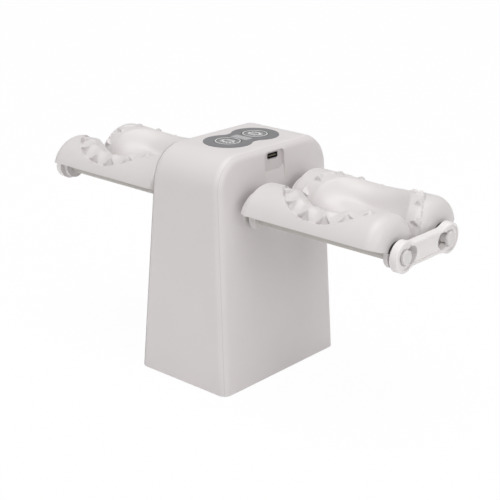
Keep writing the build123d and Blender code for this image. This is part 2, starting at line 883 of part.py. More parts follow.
# Geared motors and their pinions
for side_name, side in sides.items():
    motor_y = -side * half_spacing
    with BuildPart() as motor:
        with BuildSketch(along_x(side, frame_x - motor_length, motor_y, motor_z)):
            RectangleRounded(motor_width, motor_height, motor_round)
        extrude(amount=motor_length - gearbox_length)
        with BuildSketch(along_x(side, frame_x - gearbox_length, motor_y, motor_z)):
            Rectangle(motor_width, motor_height)
        extrude(amount=gearbox_length)
        with BuildSketch(along_x(side, frame_x, motor_y, motor_z)):
            Circle(motor_collar_radius)
        extrude(amount=frame_thickness)
        with BuildSketch(along_x(side, frame_x - shaft_depth, motor_y, motor_z)):
            Circle(motor_shaft_radius + running_fit)
        extrude(amount=motor_length, mode=Mode.SUBTRACT)
    motor.part.label = f"motor_{side_name}"
    export_step(motor.part, f"parts/motor_{side_name}.step")
    pinion_phase = 0 if side > 0 else 180 / pinion_teeth
    with BuildPart() as pinion:
        with Locations(gear_place(side, motor_y, motor_z)):
            add(toothed_rim(pinion_teeth, pinion_phase, motor_shaft_radius))
        with BuildSketch(along_x(side, frame_x - shaft_depth + side_gap, motor_y, motor_z)):
            Circle(motor_shaft_radius)
        extrude(amount=gear_end_x - frame_x + shaft_depth - side_gap)
    pinion.part.label = f"pinion_{side_name}"
    export_step(pinion.part, f"parts/pinion_{side_name}.step")

# Bushings, pressed into the tower's wide faces
for side_name, side in sides.items():
    with BuildPart() as bushings:
        with BuildSketch(along_x(side, flange_x, 0, arm_z)):
            with Locations((-half_spacing, 0), (half_spacing, 0)):
                Circle(bushing_flange_radius)
        extrude(amount=bushing_flange)
        with BuildSketch(along_x(side, bushing_x, 0, arm_z)):
            with Locations((-half_spacing, 0), (half_spacing, 0)):
                Circle(bushing_radius)
        extrude(amount=bushing_end_x - bushing_x)
        with BuildSketch(along_x(side, flange_x, 0, arm_z)):
            with Locations((-half_spacing, 0), (half_spacing, 0)):
                Circle(axle_radius + running_fit)
        extrude(amount=bushing_end_x, mode=Mode.SUBTRACT)
    bushings.part.label = f"bushings_{side_name}"
    export_step(bushings.part, f"parts/bushings_{side_name}.step")

# Axles with their gears and rolls, two for each arm
axle_steps = [
    (frame_x - journal_end, gear_x - side_gap, journal_radius),
    (gear_x - side_gap, gear_end_x, gear_seat_radius),
    (gear_end_x, collar_x, axle_radius),
    (collar_x, collar_x + collar_length, collar_radius),
    (collar_x + collar_length, link_x - side_gap, axle_radius),
    (link_x - side_gap, head_x, neck_radius),
    (head_x, head_x + head_length, head_radius),
]
seat_top = 2 * gear_seat_radius
web_radius = gear_module * gear_teeth / 2 - gear_rim
for row_name, row in rows.items():
    roll_y = row * half_spacing
    gear_rim_form = toothed_rim(gear_teeth, 0 if row < 0 else 180 / gear_teeth, web_radius)
    for side_name, side in sides.items():
        with BuildPart() as axle:
            add(turned(side, roll_y, arm_z, axle_steps))
            with BuildSketch(along_x(side, gear_x - side_gap, roll_y, arm_z)):
                with Locations((0, gear_seat_flat + seat_top / 2)):
                    Rectangle(seat_top, seat_top)
            extrude(amount=gear_width + side_gap, mode=Mode.SUBTRACT)
            fillet(axle.edges().sort_by(Axis.X)[-1 if side > 0 else 0], radius=head_round)
        axle.part.label = f"axle_{side_name}_{row_name}"
        export_step(axle.part, f"parts/axle_{side_name}_{row_name}.step")
        with BuildPart() as gear:
            with BuildSketch(along_x(side, gear_x, roll_y, arm_z)):
                Circle(gear_hub_radius)
            extrude(amount=gear_width)
            with BuildSketch(along_x(side, gear_x + web_depth, roll_y, arm_z)):
                Circle(web_radius)
            extrude(amount=gear_width - 2 * web_depth)
            with BuildSketch(along_x(side, gear_x, roll_y, arm_z)):
                Circle(gear_seat_radius)
                with Locations((0, gear_seat_flat + seat_top / 2)):
                    Rectangle(seat_top, seat_top, mode=Mode.SUBTRACT)
            extrude(amount=gear_width, mode=Mode.SUBTRACT)
            with Locations(gear_place(side, roll_y, arm_z)):
                add(gear_rim_form)
        gear.part.label = f"gear_{side_name}_{row_name}"
        export_step(gear.part, f"parts/gear_{side_name}_{row_name}.step")


def mould_form(row):
    """One half-round roll of the right arm, with its cavity, crimp, ribs and hub."""
    rib_span = (roll_end_x - roll_root_x) / (rib_count + 1)
    inside = [
        (roll_root_x + end_wall, 0),
        (roll_root_x + end_wall, roll_radius - skin),
        (roll_end_x - end_wall, roll_radius - skin),
        (roll_end_x - end_wall, 0),
    ]
    outside = [(roll_root_x, 0), (roll_root_x, roll_radius), (roll_end_x, roll_radius), (roll_end_x, 0)]
    corners = [(roll_root_round, roll_root_x), (roll_end_round, roll_end_x)]
    inner_corners = [(roll_end_round - end_wall, roll_end_x - end_wall)]
    channel = [(roll_root_x, 0), (roll_root_x, hub_radius), (roll_end_x, hub_radius), (roll_end_x, 0)]
    shoulder = [
        (shoulder_x, 0),
        (shoulder_x, shoulder_radius),
        (roll_root_x + end_wall, shoulder_radius),
        (roll_root_x + end_wall, 0),
    ]
    full = half_turned(row, outside, corners)
    cuts = [cavity_bowl(row, 0), cavity_ledge(row)]
    if row < 0:
        cuts.append(crimp_teeth(row, 0, roll_radius - ledge_depth - pocket_drop, roll_radius + 1))
    with BuildPart() as form:
        add(full)
        add(half_turned(row, inside, inner_corners), mode=Mode.SUBTRACT)
        for rib in range(rib_count):
            start = roll_root_x + rib_span * (rib + 1) - rib_width / 2
            rib_points = [
                (start, 0),
                (start, roll_radius - skin / 2),
                (start + rib_width, roll_radius - skin / 2),
                (start + rib_width, 0),
            ]
            add(half_turned(row, rib_points))
        add(half_turned(row, channel))
        add(half_turned(row, shoulder))
        for start, length in ((shoulder_x, roll_root_x - shoulder_x), (roll_end_x - end_wall, end_wall)):
            with BuildSketch(along_x(1, start, row * half_spacing, arm_z)):
                Circle(hub_radius)
            extrude(amount=length)
        with BuildSketch(along_x(1, shoulder_x - 1, row * half_spacing, arm_z)):
            Circle(axle_radius)
        extrude(amount=roll_end_x, mode=Mode.SUBTRACT)
        add(cavity_bowl(row, bowl_skin) & full)
        add(cuts, mode=Mode.SUBTRACT)
        if row > 0:
            tooth_low = roll_radius - ledge_depth - skin / 3
            add(crimp_teeth(row, tooth_gap, tooth_low, roll_radius + tooth_rise))
    return form.part


# The four mould rolls; the left arm's are the right arm's mirrored
for row_name, row in rows.items():
    form = mould_form(row)
    with BuildPart() as mould_right:
        add(form)
    mould_right.part.label = f"mould_right_{row_name}"
    export_step(mould_right.part, f"parts/mould_right_{row_name}.step")
    with BuildPart() as mould_left:
        mirror(form, about=Plane.YZ)
    mould_left.part.label = f"mould_left_{row_name}"
    export_step(mould_left.part, f"parts/mould_left_{row_name}.step")

# End links, carried on the necks of an arm's two axles
for side_name, side in sides.items():
    with BuildPart() as end_link:
        with BuildSketch(along_x(side, link_x, 0, arm_z)) as outline:
            with Locations((-half_spacing, 0), (half_spacing, 0)):
                Circle(eye_radius)
            Rectangle(roll_spacing, 2 * link_waist)
            inner_corners = [v for v in outline.vertices() if abs(abs(v.Y) - link_waist) < 0.01]
            fillet(inner_corners, radius=link_blend)
        extrude(amount=link_thickness)
        face_rim = end_link.edges().group_by(Axis.X)[-1 if side > 0 else 0]
        fillet(face_rim, radius=link_round)
        with BuildSketch(along_x(side, link_end_x - link_recess, 0, arm_z)):
            with Locations((-half_spacing, 0), (half_spacing, 0)):
                Circle(eye_radius - link_rim - link_round / 2)
            Rectangle(roll_spacing, 2 * (link_waist - link_rim - link_round / 2))
        extrude(amount=link_recess, mode=Mode.SUBTRACT)
        for way in (-1, 1):
            pin = way * half_spacing
            wide = way * (half_spacing - keyhole_reach)
            with BuildSketch(along_x(side, link_x, 0, arm_z)):
                with Locations((pin, 0)):
                    Circle(neck_radius + running_fit)
                with Locations((wide, 0)):
                    Circle(keyhole_radius)
                with Locations(((pin + wide) / 2, 0)):
                    Rectangle(keyhole_reach, 2 * (neck_radius + running_fit))
            extrude(amount=link_thickness, mode=Mode.SUBTRACT)
            with BuildSketch(along_x(side, link_end_x - head_seat_depth, 0, arm_z)):
                with Locations((pin, 0)):
                    Circle(head_radius + head_seat_gap)
            extrude(amount=link_thickness, mode=Mode.SUBTRACT)
    end_link.part.label = f"end_link_{side_name}"
    export_step(end_link.part, f"parts/end_link_{side_name}.step")
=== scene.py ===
from math import atan2, cos, floor, hypot, pi, radians, sin, sqrt

import bmesh
import bpy
from mathutils import Matrix, Vector


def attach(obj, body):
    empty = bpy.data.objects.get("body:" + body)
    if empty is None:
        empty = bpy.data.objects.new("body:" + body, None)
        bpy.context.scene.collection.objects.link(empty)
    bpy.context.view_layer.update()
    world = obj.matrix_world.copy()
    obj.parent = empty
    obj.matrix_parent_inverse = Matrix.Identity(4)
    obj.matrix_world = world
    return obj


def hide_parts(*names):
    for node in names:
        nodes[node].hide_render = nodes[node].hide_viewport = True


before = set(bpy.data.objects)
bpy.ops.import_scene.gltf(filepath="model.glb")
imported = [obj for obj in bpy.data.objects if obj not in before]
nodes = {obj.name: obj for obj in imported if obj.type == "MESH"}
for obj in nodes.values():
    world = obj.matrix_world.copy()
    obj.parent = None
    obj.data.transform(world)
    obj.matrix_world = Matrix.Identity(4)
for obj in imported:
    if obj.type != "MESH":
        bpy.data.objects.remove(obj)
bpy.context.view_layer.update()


# The camera stands to the right of the front and a little above the arms, with a long lens,
# as the photograph's did. It is rolled by less than a degree.
camera_azimuth = radians(40.81)
camera_elevation = radians(19.65)
camera_roll = radians(0.69)
camera_place = Vector((0.4594, -0.5232, 0.3183))

camera_back = Vector((
    sin(camera_azimuth) * cos(camera_elevation),
    -cos(camera_azimuth) * cos(camera_elevation),
    sin(camera_elevation),
))
level_right = Vector((cos(camera_azimuth), sin(camera_azimuth), 0))
level_up = camera_back.cross(level_right)
camera_right = level_right * cos(camera_roll) + level_up * sin(camera_roll)
camera_up = level_up * cos(camera_roll) - level_right * sin(camera_roll)
camera_turn = Matrix((camera_right, camera_up, camera_back)).transposed()

lens = bpy.data.cameras.new("studio_camera")
lens.sensor_width = 36
lens.lens = 88.23
lens.clip_start = 0.05
lens.clip_end = 20
camera = bpy.data.objects.new("studio_camera", lens)
camera.matrix_world = Matrix.Translation(camera_place) @ camera_turn.to_4x4()
bpy.context.scene.collection.objects.link(camera)
bpy.context.scene.camera = camera
bpy.context.scene.view_settings.view_transform = "Standard"


# The tower is a band and two side covers in white plastic. The band is the narrow faces and the
# top in one strip, and each cover laps over its edges with a fine step along the join.
class Wire:
    """A value inside a finish, so that shader maths reads as plain sums."""

    def __init__(self, finish, socket):
        self.finish = finish
        self.socket = socket

    def __add__(self, other):
        return self.finish.maths("ADD", self, other)

    def __radd__(self, other):
        return self.finish.maths("ADD", other, self)

    def __sub__(self, other):
        return self.finish.maths("SUBTRACT", self, other)

    def __rsub__(self, other):
        return self.finish.maths("SUBTRACT", other, self)

    def __mul__(self, other):
        return self.finish.maths("MULTIPLY", self, other)

    def __rmul__(self, other):
        return self.finish.maths("MULTIPLY", other, self)


class Finish:
    """A material under construction: its node tree, and one way to add any node to it."""

    def __init__(self, name):
        self.material = bpy.data.materials.new(name)
        self.material.use_nodes = True
        self.tree = self.material.node_tree
        self.shader = self.tree.nodes["Principled BSDF"]

    def feed(self, socket, value):
        """Gives a socket a wire or a plain value."""
        if isinstance(value, Wire):
            self.tree.links.new(value.socket, socket)
        else:
            socket.default_value = value

    def node(self, kind, settings=None, inputs=None, output=0):
        """Any node, by its type, its settings and what its sockets are fed."""
        node = self.tree.nodes.new(kind)
        for name, value in (settings or {}).items():
            setattr(node, name, value)
        for name, value in (inputs or {}).items():
            self.feed(node.inputs[name], value)
        return Wire(self, node.outputs[output])

    def maths(self, operation, *values):
        """A Math node on up to three wires or numbers."""
        return self.node("ShaderNodeMath", {"operation": operation}, dict(enumerate(values)))

    def set(self, **values):
        """Feeds the shader's sockets by plain names, and gives the material."""
        sockets = {
            "colour": "Base Color",
            "roughness": "Roughness",
            "metallic": "Metallic",
            "normal": "Normal",
        }
        for name, value in values.items():
            self.feed(self.shader.inputs[sockets[name]], value)
        return self.material

    def place(self, scale=1.0):
        """Object coordinates, in metres times a scale."""
        coordinates = self.node("ShaderNodeTexCoord", output=3)
        return self.node(
            "ShaderNodeVectorMath", {"operation": "SCALE"}, {0: coordinates, "Scale": scale},
        )

    def axes(self):
        """The place along each of the three axes, in millimetres."""
        split = self.node("ShaderNodeSeparateXYZ", inputs={0: self.place(1000.0)})
        return [Wire(self, output) for output in split.socket.node.outputs]

    def noise(self, size, detail=2.0, rough=0.5):
        """Cloudy noise from 0 to 1, whose blotches are about size metres across."""
        return self.node("ShaderNodeTexNoise", inputs={
            "Vector": self.place(1 / size),
            "Scale": 1.0,
            "Detail": detail,
            "Roughness": rough,
        })

    def mix(self, amount, first, second):
        """A colour between two colours."""
        node = self.tree.nodes.new("ShaderNodeMix")
        node.data_type = "RGBA"
        self.feed(node.inputs[0], amount)
        colour_sockets = [socket for socket in node.inputs if socket.type == "RGBA"]
        for socket, value in zip(colour_sockets, (first, second)):
            self.feed(socket, value if isinstance(value, Wire) else (*value, 1))
        return Wire(self, [socket for socket in node.outputs if socket.type == "RGBA"][0])

    def bump(self, height, distance, strength=1.0):
        """A surface normal raised by a height from 0 to 1, times a distance in metres."""
        return self.node("ShaderNodeBump", inputs={
            "Height": height,
            "Distance": distance,
            "Strength": strength,
        })


def tower_finish():
    """White plastic, with painted shade a little darker along the join's groove."""
    base_half_width = 34.6
    draft = 0.0695
    groove_inset = 1.65
    groove_half_width = 0.2
    finish = Finish("tower_white")
    x, _, height = finish.axes()
    inset = base_half_width - draft * height - finish.maths("ABSOLUTE", x)
    groove_painted_shade = finish.maths("COMPARE", inset, groove_inset, groove_half_width)
    clouds = finish.noise(0.03, detail=3.0)
    fine = finish.noise(0.00035, detail=1.0)
    rubbed = finish.noise(0.006, detail=4.0, rough=0.6)
    shell = finish.mix(clouds, (0.712, 0.672, 0.672), (0.740, 0.700, 0.700))
    return finish.set(
        # The groove's darker colour is painted shade in the join, not the plastic's own colour.
        colour=finish.mix(groove_painted_shade, shell, (0.640, 0.602, 0.602)),
        roughness=0.37 + 0.1 * rubbed,
        normal=finish.bump(fine, 0.00001),
    )


def give(material, *names):
    """Puts one finish on CAD nodes."""
    for name in names:
        piece = nodes[name]
        piece.data.materials.clear()
        piece.data.materials.append(material)


give(tower_finish(), "tower_band", "side_cover_right", "side_cover_left")


# The cover closes the tower from below. It is moulded in a slightly greyer white, and four
# screws hold it.
def moulded_plastic(name, colour, shade, roughness, grain=0.00035, relief=0.00001, cloud=0.03):
    """Injection-moulded plastic: fine eroded grain, faint colour clouds and uneven gloss."""
    finish = Finish(name)
    clouds = finish.noise(cloud, detail=3.0)
    fine = finish.noise(grain, detail=1.0)
    rubbed = finish.noise(cloud / 5, detail=4.0, rough=0.6)
    return finish.set(
        colour=finish.mix(clouds, shade, colour),
        roughness=roughness + 0.1 * rubbed - 0.05,
        normal=finish.bump(fine, relief),
    )


cover_white = moulded_plastic("cover_white", (0.60, 0.59, 0.58), (0.56, 0.55, 0.54), 0.5)
give(cover_white, "base_cover")


# Four rubber feet are pressed into shallow seats in the cover. Each is a disc with a rounded
# rim and two raised rings that grip the table.
rubber_black = (0.060, 0.060, 0.062)
rubber_worn = (0.045, 0.045, 0.047)
foot_rubber = moulded_plastic("foot_rubber", rubber_black, rubber_worn, 0.75, relief=0.00003)
foot_x = 0.019
foot_y = 0.033
foot_profile = [
    (0.0, 0.0015), (0.0060, 0.0015), (0.0060, 0.0004), (0.00588, 0.0001), (0.0056, 0.0),
    (0.0047, 0.0), (0.0045, 0.0003), (0.0036, 0.0003), (0.0034, 0.0), (0.0025, 0.0),
    (0.0023, 0.0003), (0.0, 0.0003),
]


def spun(mesh, profile, place=(0.0, 0.0, 0.0), direction=(0.0, 0.0, 1.0), steps=48):
    """A turned solid: the profile is radius and height, turned about a line through a place."""
    chain = [mesh.verts.new((radius, 0.0, height)) for radius, height in profile]
    links = [mesh.edges.new(pair) for pair in zip(chain, chain[1:])]
    before = set(mesh.verts) - set(chain)
    bmesh.ops.spin(
        mesh,
        geom=chain + links,
        cent=(0, 0, 0),
        axis=(0, 0, 1),
        angle=2 * pi,
        steps=steps,
        use_merge=True,
    )
    made = [vert for vert in mesh.verts if vert not in before]
    turn = Vector((0, 0, 1)).rotation_difference(Vector(direction)).to_matrix().to_4x4()
    bmesh.ops.transform(mesh, matrix=Matrix.Translation(place) @ turn, verts=made)


def make_piece(name, mesh, material, body, sharp=35.0):
    """Turns a finished bmesh into a piece that rides on a body, smooth but for its sharp edges."""
    bmesh.ops.remove_doubles(mesh, verts=mesh.verts, dist=0.000002)
    bmesh.ops.recalc_face_normals(mesh, faces=mesh.faces)
    for face in mesh.faces:
        face.smooth = True
    for edge in mesh.edges:
        edge.smooth = edge.calc_face_angle(0.0) < radians(sharp)
    data = bpy.data.meshes.new(name)
    mesh.to_mesh(data)
    mesh.free()
    data.materials.append(material)
    piece = bpy.data.objects.new(name, data)
    bpy.context.scene.collection.objects.link(piece)
    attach(piece, body)
    return piece


mesh = bmesh.new()
for x in (-foot_x, foot_x):
    for y in (-foot_y, foot_y):
        spun(mesh, foot_profile, (x, y, 0.0))
feet = make_piece("feet", mesh, foot_rubber, "housing")
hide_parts("rubber_feet")


# Pan-head screws in zinc-plated steel, each with a pressed cross recess. Four hold the cover,
# four the board and eight the gear frames.
def plated_steel(name, colour, roughness):
    """Plated steel with fine rolling lines and small dull spots."""
    finish = Finish(name)
    stretched = finish.node(
        "ShaderNodeVectorMath",
        {"operation": "MULTIPLY"},
        {0: finish.place(1.0), 1: (4000.0, 4000.0, 120.0)},
    )
    lines = finish.node(
        "ShaderNodeTexNoise", inputs={"Vector": stretched, "Scale": 1.0, "Detail": 2.0},
    )
    spots = finish.noise(0.004, detail=3.0)
    dull = tuple(0.8 * channel for channel in colour)
    return finish.set(
        colour=finish.mix(spots, dull, colour),
        roughness=roughness + 0.18 * spots,
        metallic=1.0,
        normal=finish.bump(lines, 0.000004),
    )


zinc = plated_steel("zinc", (0.62, 0.62, 0.60), 0.28)


def faces_of(verts):
    """The faces that touch some vertices, each once and in a fixed order."""
    return list(dict.fromkeys(face for vert in verts for face in vert.link_faces))


def edges_of(verts):
    """The edges that touch some vertices, each once and in a fixed order."""
    return list(dict.fromkeys(edge for vert in verts for edge in vert.link_edges))


def border_of(verts):
    """The open edges among those that touch some vertices."""
    return [edge for edge in edges_of(verts) if edge.is_boundary]


def add_screw(mesh, place, direction, head_height, length):
    """One screw whose head's underside is at a place, and whose shank points along a direction."""
    head_radius = 0.0026
    shank_radius = 0.0013
    thread_root = 0.0011
    thread_pitch = 0.0009
    cross_half_width = 0.0002
    cross_reach = 0.0013
    flat_half = head_radius * 0.62
    before = set(mesh.verts)
    top = bmesh.ops.create_grid(mesh, x_segments=9, y_segments=9, size=flat_half)
    bars = []
    for face in faces_of(top["verts"]):
        middle = face.calc_center_median()
        near, far = sorted((abs(middle.x), abs(middle.y)))
        if near < cross_half_width and far < cross_reach:
            bars.append(face)
    bmesh.ops.translate(mesh, verts=top["verts"], vec=(0, 0, head_height))
    border = border_of(top["verts"])
    sunk = bmesh.ops.extrude_face_region(mesh, geom=bars)
    floor_verts = [item for item in sunk["geom"] if isinstance(item, bmesh.types.BMVert)]
    bmesh.ops.translate(mesh, verts=floor_verts, vec=(0, 0, -head_height * 0.6))
    bmesh.ops.delete(mesh, geom=bars, context="FACES")
    profile = [
        (head_radius * 0.9, head_height * 0.97),
        (head_radius * 0.98, head_height * 0.8),
        (head_radius, head_height * 0.5),
        (head_radius, 0.0),
        (shank_radius, 0.0),
    ]
    turns = round(length / thread_pitch)
    for turn in range(turns):
        depth = -length * (turn + 1) / (turns + 2)
        profile.append((thread_root, depth))
        profile.append((shank_radius, depth - length * 0.5 / (turns + 2)))
    profile += [(0.0009, -length * 0.98), (0.0, -length)]
    chain = [mesh.verts.new((radius, 0.0, height)) for radius, height in profile]
    links = [mesh.edges.new(pair) for pair in zip(chain, chain[1:])]
    bmesh.ops.spin(
        mesh,
        geom=chain + links,
        cent=(0, 0, 0),
        axis=(0, 0, 1),
        angle=2 * pi,
        steps=36,
        use_merge=True,
    )
    made = [vert for vert in mesh.verts if vert not in before]
    rim = [edge for edge in border_of(made) if edge not in border]
    bmesh.ops.bridge_loops(mesh, edges=border + rim)
    turn = Vector((0, 0, -1)).rotation_difference(Vector(direction)).to_matrix().to_4x4()
    bmesh.ops.transform(mesh, matrix=Matrix.Translation(place) @ turn, verts=made)


cover_inside = 0.0024
cover_screw_x = 0.0264
cover_screw_y = 0.0456
mesh = bmesh.new()
for x in (-cover_screw_x, cover_screw_x):
    for y in (-cover_screw_y, cover_screw_y):
        add_screw(mesh, (x, y, cover_inside), (0, 0, 1), head_height=0.0014, length=0.009)
cover_screws = make_piece("cover_screws", mesh, zinc, "housing")
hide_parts("base_screws")

board_underside = 0.1297
board_screw_x = 0.014
board_screw_y = 0.029
mesh = bmesh.new()
for x in (-board_screw_x, board_screw_x):
    for y in (-board_screw_y, board_screw_y):
        add_screw(mesh, (x, y, board_underside), (0, 0, 1), head_height=0.0016, length=0.006)
pcb_screws = make_piece("pcb_screws", mesh, zinc, "housing")
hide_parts("board_screws")

plate_inside = 0.0125
plate_screw_places = ((-0.038, 0.066), (0.038, 0.066), (0.0, 0.084), (0.0, 0.1215))
mesh = bmesh.new()
for side in (-1, 1):
    for y, z in plate_screw_places:
        place = (side * plate_inside, y, z)
        add_screw(mesh, place, (side, 0, 0), head_height=0.0016, length=0.006)
plate_screws = make_piece("plate_screws", mesh, zinc, "housing")
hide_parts("frame_screws")


# The charging socket is a nickel-plated shell with a black tongue inside. The tongue carries two
# rows of gilt contacts.
def socket_finish():
    """Nickel outside; near black inside the mouth, the tongue's own black plastic with painted
    shade on the rest of the mouth; and gilt stripes on the tongue.
    """
    port_height = 133.2
    mouth_half_width = 4.42
    mouth_half_height = 1.58
    tongue_half_height = 0.37
    contact_wave = 12.6
    finish = Finish("socket_finish")
    _, across, height = finish.axes()
    width_in = finish.maths("COMPARE", across, 0.0, mouth_half_width)
    height_in = finish.maths("COMPARE", height, port_height, mouth_half_height)
    inside = width_in * height_in
    on_tongue = finish.maths("COMPARE", height, port_height, tongue_half_height)
    stripe = finish.maths("SINE", contact_wave * across)
    gilt = on_tongue * finish.maths("GREATER_THAN", stripe, 0.5)
    # Inside the mouth the near black is partly the tongue's black plastic and partly painted shade
    # on the shell's inner walls.
    black_and_painted_mouth_shade = finish.mix(gilt, (0.02, 0.02, 0.02), (0.40, 0.34, 0.22))
    return finish.set(
        colour=finish.mix(inside, (0.52, 0.51, 0.49), black_and_painted_mouth_shade),
        metallic=1.0 - inside * (1.0 - gilt),
        roughness=0.25 + 0.15 * inside,
    )


give(socket_finish(), "charging_socket")


# Two cells lie in a tray on the cover. Each is a steel can in a blue shrink sleeve, rolled in at
# both ends, with its positive button at the front and its flat negative end at the back.
sleeve_blue = moulded_plastic(
    "sleeve_blue", (0.05, 0.19, 0.40), (0.04, 0.16, 0.36), 0.25, relief=0.000004,
)
give(cover_white, "battery_holder")
cell_x = 0.0098
cell_front = -0.0325
cell_height = 0.0144
cell_profile = [
    (0.0, 0.0), (0.0030, 0.0), (0.0030, 0.0009), (0.0062, 0.0009), (0.0064, 0.0005),
    (0.0086, 0.0005), (0.00915, 0.0010), (0.0092, 0.0016), (0.0092, 0.0030), (0.0087, 0.0034),
    (0.0087, 0.0038), (0.0092, 0.0042), (0.0092, 0.0642), (0.0089, 0.0649), (0.0070, 0.0650),
    (0.0066, 0.0647), (0.0, 0.0647),
]
mesh = bmesh.new()
for x in (-cell_x, cell_x):
    spun(mesh, cell_profile, (x, cell_front, cell_height), (0.0, 1.0, 0.0))
cells = make_piece("cells", mesh, sleeve_blue, "housing")
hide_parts("battery_cells")


# The contacts are nickel plates: a dished one against each positive button, and one with a
# conical spring against each negative end.
contact_nickel = plated_steel("contact_nickel", (0.60, 0.57, 0.46), 0.25)
give(contact_nickel, "battery_contacts")


# The control board is green laminate with copper lines under the mask. Its lower face carries
# two chips with legs, small ceramic parts, two drum capacitors and the motor connectors.
def board_finish():
    """Solder mask over copper lines, darker where the copper is missing."""
    finish = Finish("board_finish")
    grid = finish.node(
        "ShaderNodeTexBrick",
        {"offset": 0.5, "squash": 1.0},
        {
            "Vector": finish.place(260.0),
            "Scale": 1.0,
            "Mortar Size": 0.06,
            "Brick Width": 1.4,
            "Row Height": 0.35,
        },
        output=1,
    )
    clouds = finish.noise(0.004, detail=2.0)
    traces = grid * clouds
    return finish.set(
        colour=finish.mix(traces, (0.015, 0.115, 0.045), (0.05, 0.24, 0.10)),
        roughness=0.3 + 0.1 * clouds,
        normal=finish.bump(traces, 0.00002),
    )


give(board_finish(), "control_board")
chip_black = moulded_plastic("chip_black", (0.030, 0.030, 0.032), (0.022, 0.022, 0.024), 0.45)
give(chip_black, "push_switches")
led_resin = moulded_plastic("led_resin", (0.85, 0.85, 0.72), (0.80, 0.80, 0.66), 0.15)
give(led_resin, "indicator_light")


def add_block(mesh, low, high, round_by):
    """A block between two corners, with rounded edges."""
    made = bmesh.ops.create_cube(mesh, size=1.0)["verts"]
    size = Vector(high) - Vector(low)
    middle = (Vector(high) + Vector(low)) / 2
    bmesh.ops.scale(mesh, vec=size, verts=made)
    bmesh.ops.translate(mesh, verts=made, vec=middle)
    bmesh.ops.bevel(
        mesh,
        geom=edges_of(made),
        offset=round_by,
        segments=2,
        profile=0.5,
        affect="EDGES",
        material=-1,
    )


chip_y = 0.012
leg_pitch = 0.00127
leg_half_width = 0.0002
leg_reach = 0.0012
leg_height = 0.0007
leg_rows = (-0.0063, 0.0051)
mesh = bmesh.new()
for way in (-1, 1):
    for leg in range(7):
        y = way * chip_y + (leg - 3) * leg_pitch
        for x in leg_rows:
            low = (x, y - leg_half_width, board_underside - leg_height)
            high = (x + leg_reach, y + leg_half_width, board_underside)
            add_block(mesh, low, high, round_by=0.00008)
make_piece("chip_legs", mesh, contact_nickel, "housing")

ceramic = moulded_plastic("ceramic", (0.50, 0.42, 0.30), (0.42, 0.35, 0.25), 0.3)
ceramic_pitch = 0.0023
ceramic_width = 0.0008
ceramic_length = 0.0016
ceramic_height = 0.0006
ceramic_start = -0.015
mesh = bmesh.new()
for place in range(14):
    x = ceramic_start + ceramic_pitch * place
    y = 0.0225 if place % 2 else 0.0205
    for low_y in (y, -y - ceramic_length):
        low = (x, low_y, board_underside - ceramic_height)
        high = (x + ceramic_width, low_y + ceramic_length, board_underside)
        add_block(mesh, low, high, round_by=0.0001)
make_piece("small_parts", mesh, ceramic, "housing")

drum_sleeve = moulded_plastic(
    "drum_sleeve", (0.06, 0.06, 0.09), (0.045, 0.045, 0.07), 0.25, relief=0.000003,
)
drum_profile = [
    (0.0, -0.0052), (0.0023, -0.0052), (0.0025, -0.0050), (0.0025, -0.0011), (0.0023, -0.0009),
    (0.0025, -0.0007), (0.0025, 0.0), (0.0, 0.0),
]
mesh = bmesh.new()
for y in (-0.003, 0.003):
    spun(mesh, drum_profile, (0.0, y, board_underside), steps=32)
make_piece("drum_capacitors", mesh, drum_sleeve, "housing")

connector_white = moulded_plastic("connector_white", (0.72, 0.71, 0.66), (0.68, 0.67, 0.62), 0.4)
connector_y = 0.0258
connector_width = 0.006
connector_height = 0.005
mesh = bmesh.new()
for way in (-1, 1):
    for x in (-0.0125, 0.0065):
        y = way * connector_y
        low = (x, y - 0.0022, board_underside - connector_height)
        high = (x + connector_width, y + 0.0012, board_underside)
        add_block(mesh, low, high, round_by=0.0003)
make_piece("wire_connectors", mesh, connector_white, "housing")


# The control pad is a grey plate like a figure eight, let into the top. It frames a frosted
# light window, whose pipe reaches down to the light on the board.
pad_grey = moulded_plastic("pad_grey", (0.215, 0.215, 0.222), (0.175, 0.175, 0.182), 0.45)
window_grey = moulded_plastic("window_grey", (0.46, 0.46, 0.47), (0.43, 0.43, 0.44), 0.3)
give(pad_grey, "control_pad")
give(window_grey, "light_window")


# Each button is a low dome in the same grey, with a pale printed ring round its rim and a
# half-moon sign on the dome. Its stem runs through the top and is held by a steel clip.
give(zinc, "button_clip_front", "button_clip_rear")
cap_grey = moulded_plastic(
    "cap_grey", (0.330, 0.330, 0.337), (0.150, 0.150, 0.157), 0.4, cloud=0.0022,
)
print_white = moulded_plastic("print_white", (0.86, 0.86, 0.86), (0.82, 0.82, 0.82), 0.5)
cap_y = 0.012
cap_top = 0.13972
print_rise = 0.00002
cap_profile = [
    (0.0, cap_top), (0.0026, cap_top - 0.00003), (0.0046, cap_top - 0.00011),
    (0.0058, cap_top - 0.00025), (0.0064, cap_top - 0.00045), (0.0066, cap_top - 0.00060),
    (0.0068, cap_top - 0.00045), (0.0069, cap_top - 0.00006), (0.0071, cap_top),
    (0.0076, cap_top - 0.00003), (0.0078, cap_top - 0.0003), (0.0078, cap_top - 0.0009),
    (0.0025, cap_top - 0.0009), (0.0025, 0.1370), (0.0019, 0.1370), (0.0019, 0.1362),
    (0.0025, 0.1362), (0.0025, 0.1359), (0.0024, 0.1358), (0.0, 0.1358),
]
ring_profile = [
    (0.00690, cap_top - 0.00010),
    (0.00696, cap_top + print_rise),
    (0.00744, cap_top + print_rise),
    (0.00748, cap_top - 0.00006),
]


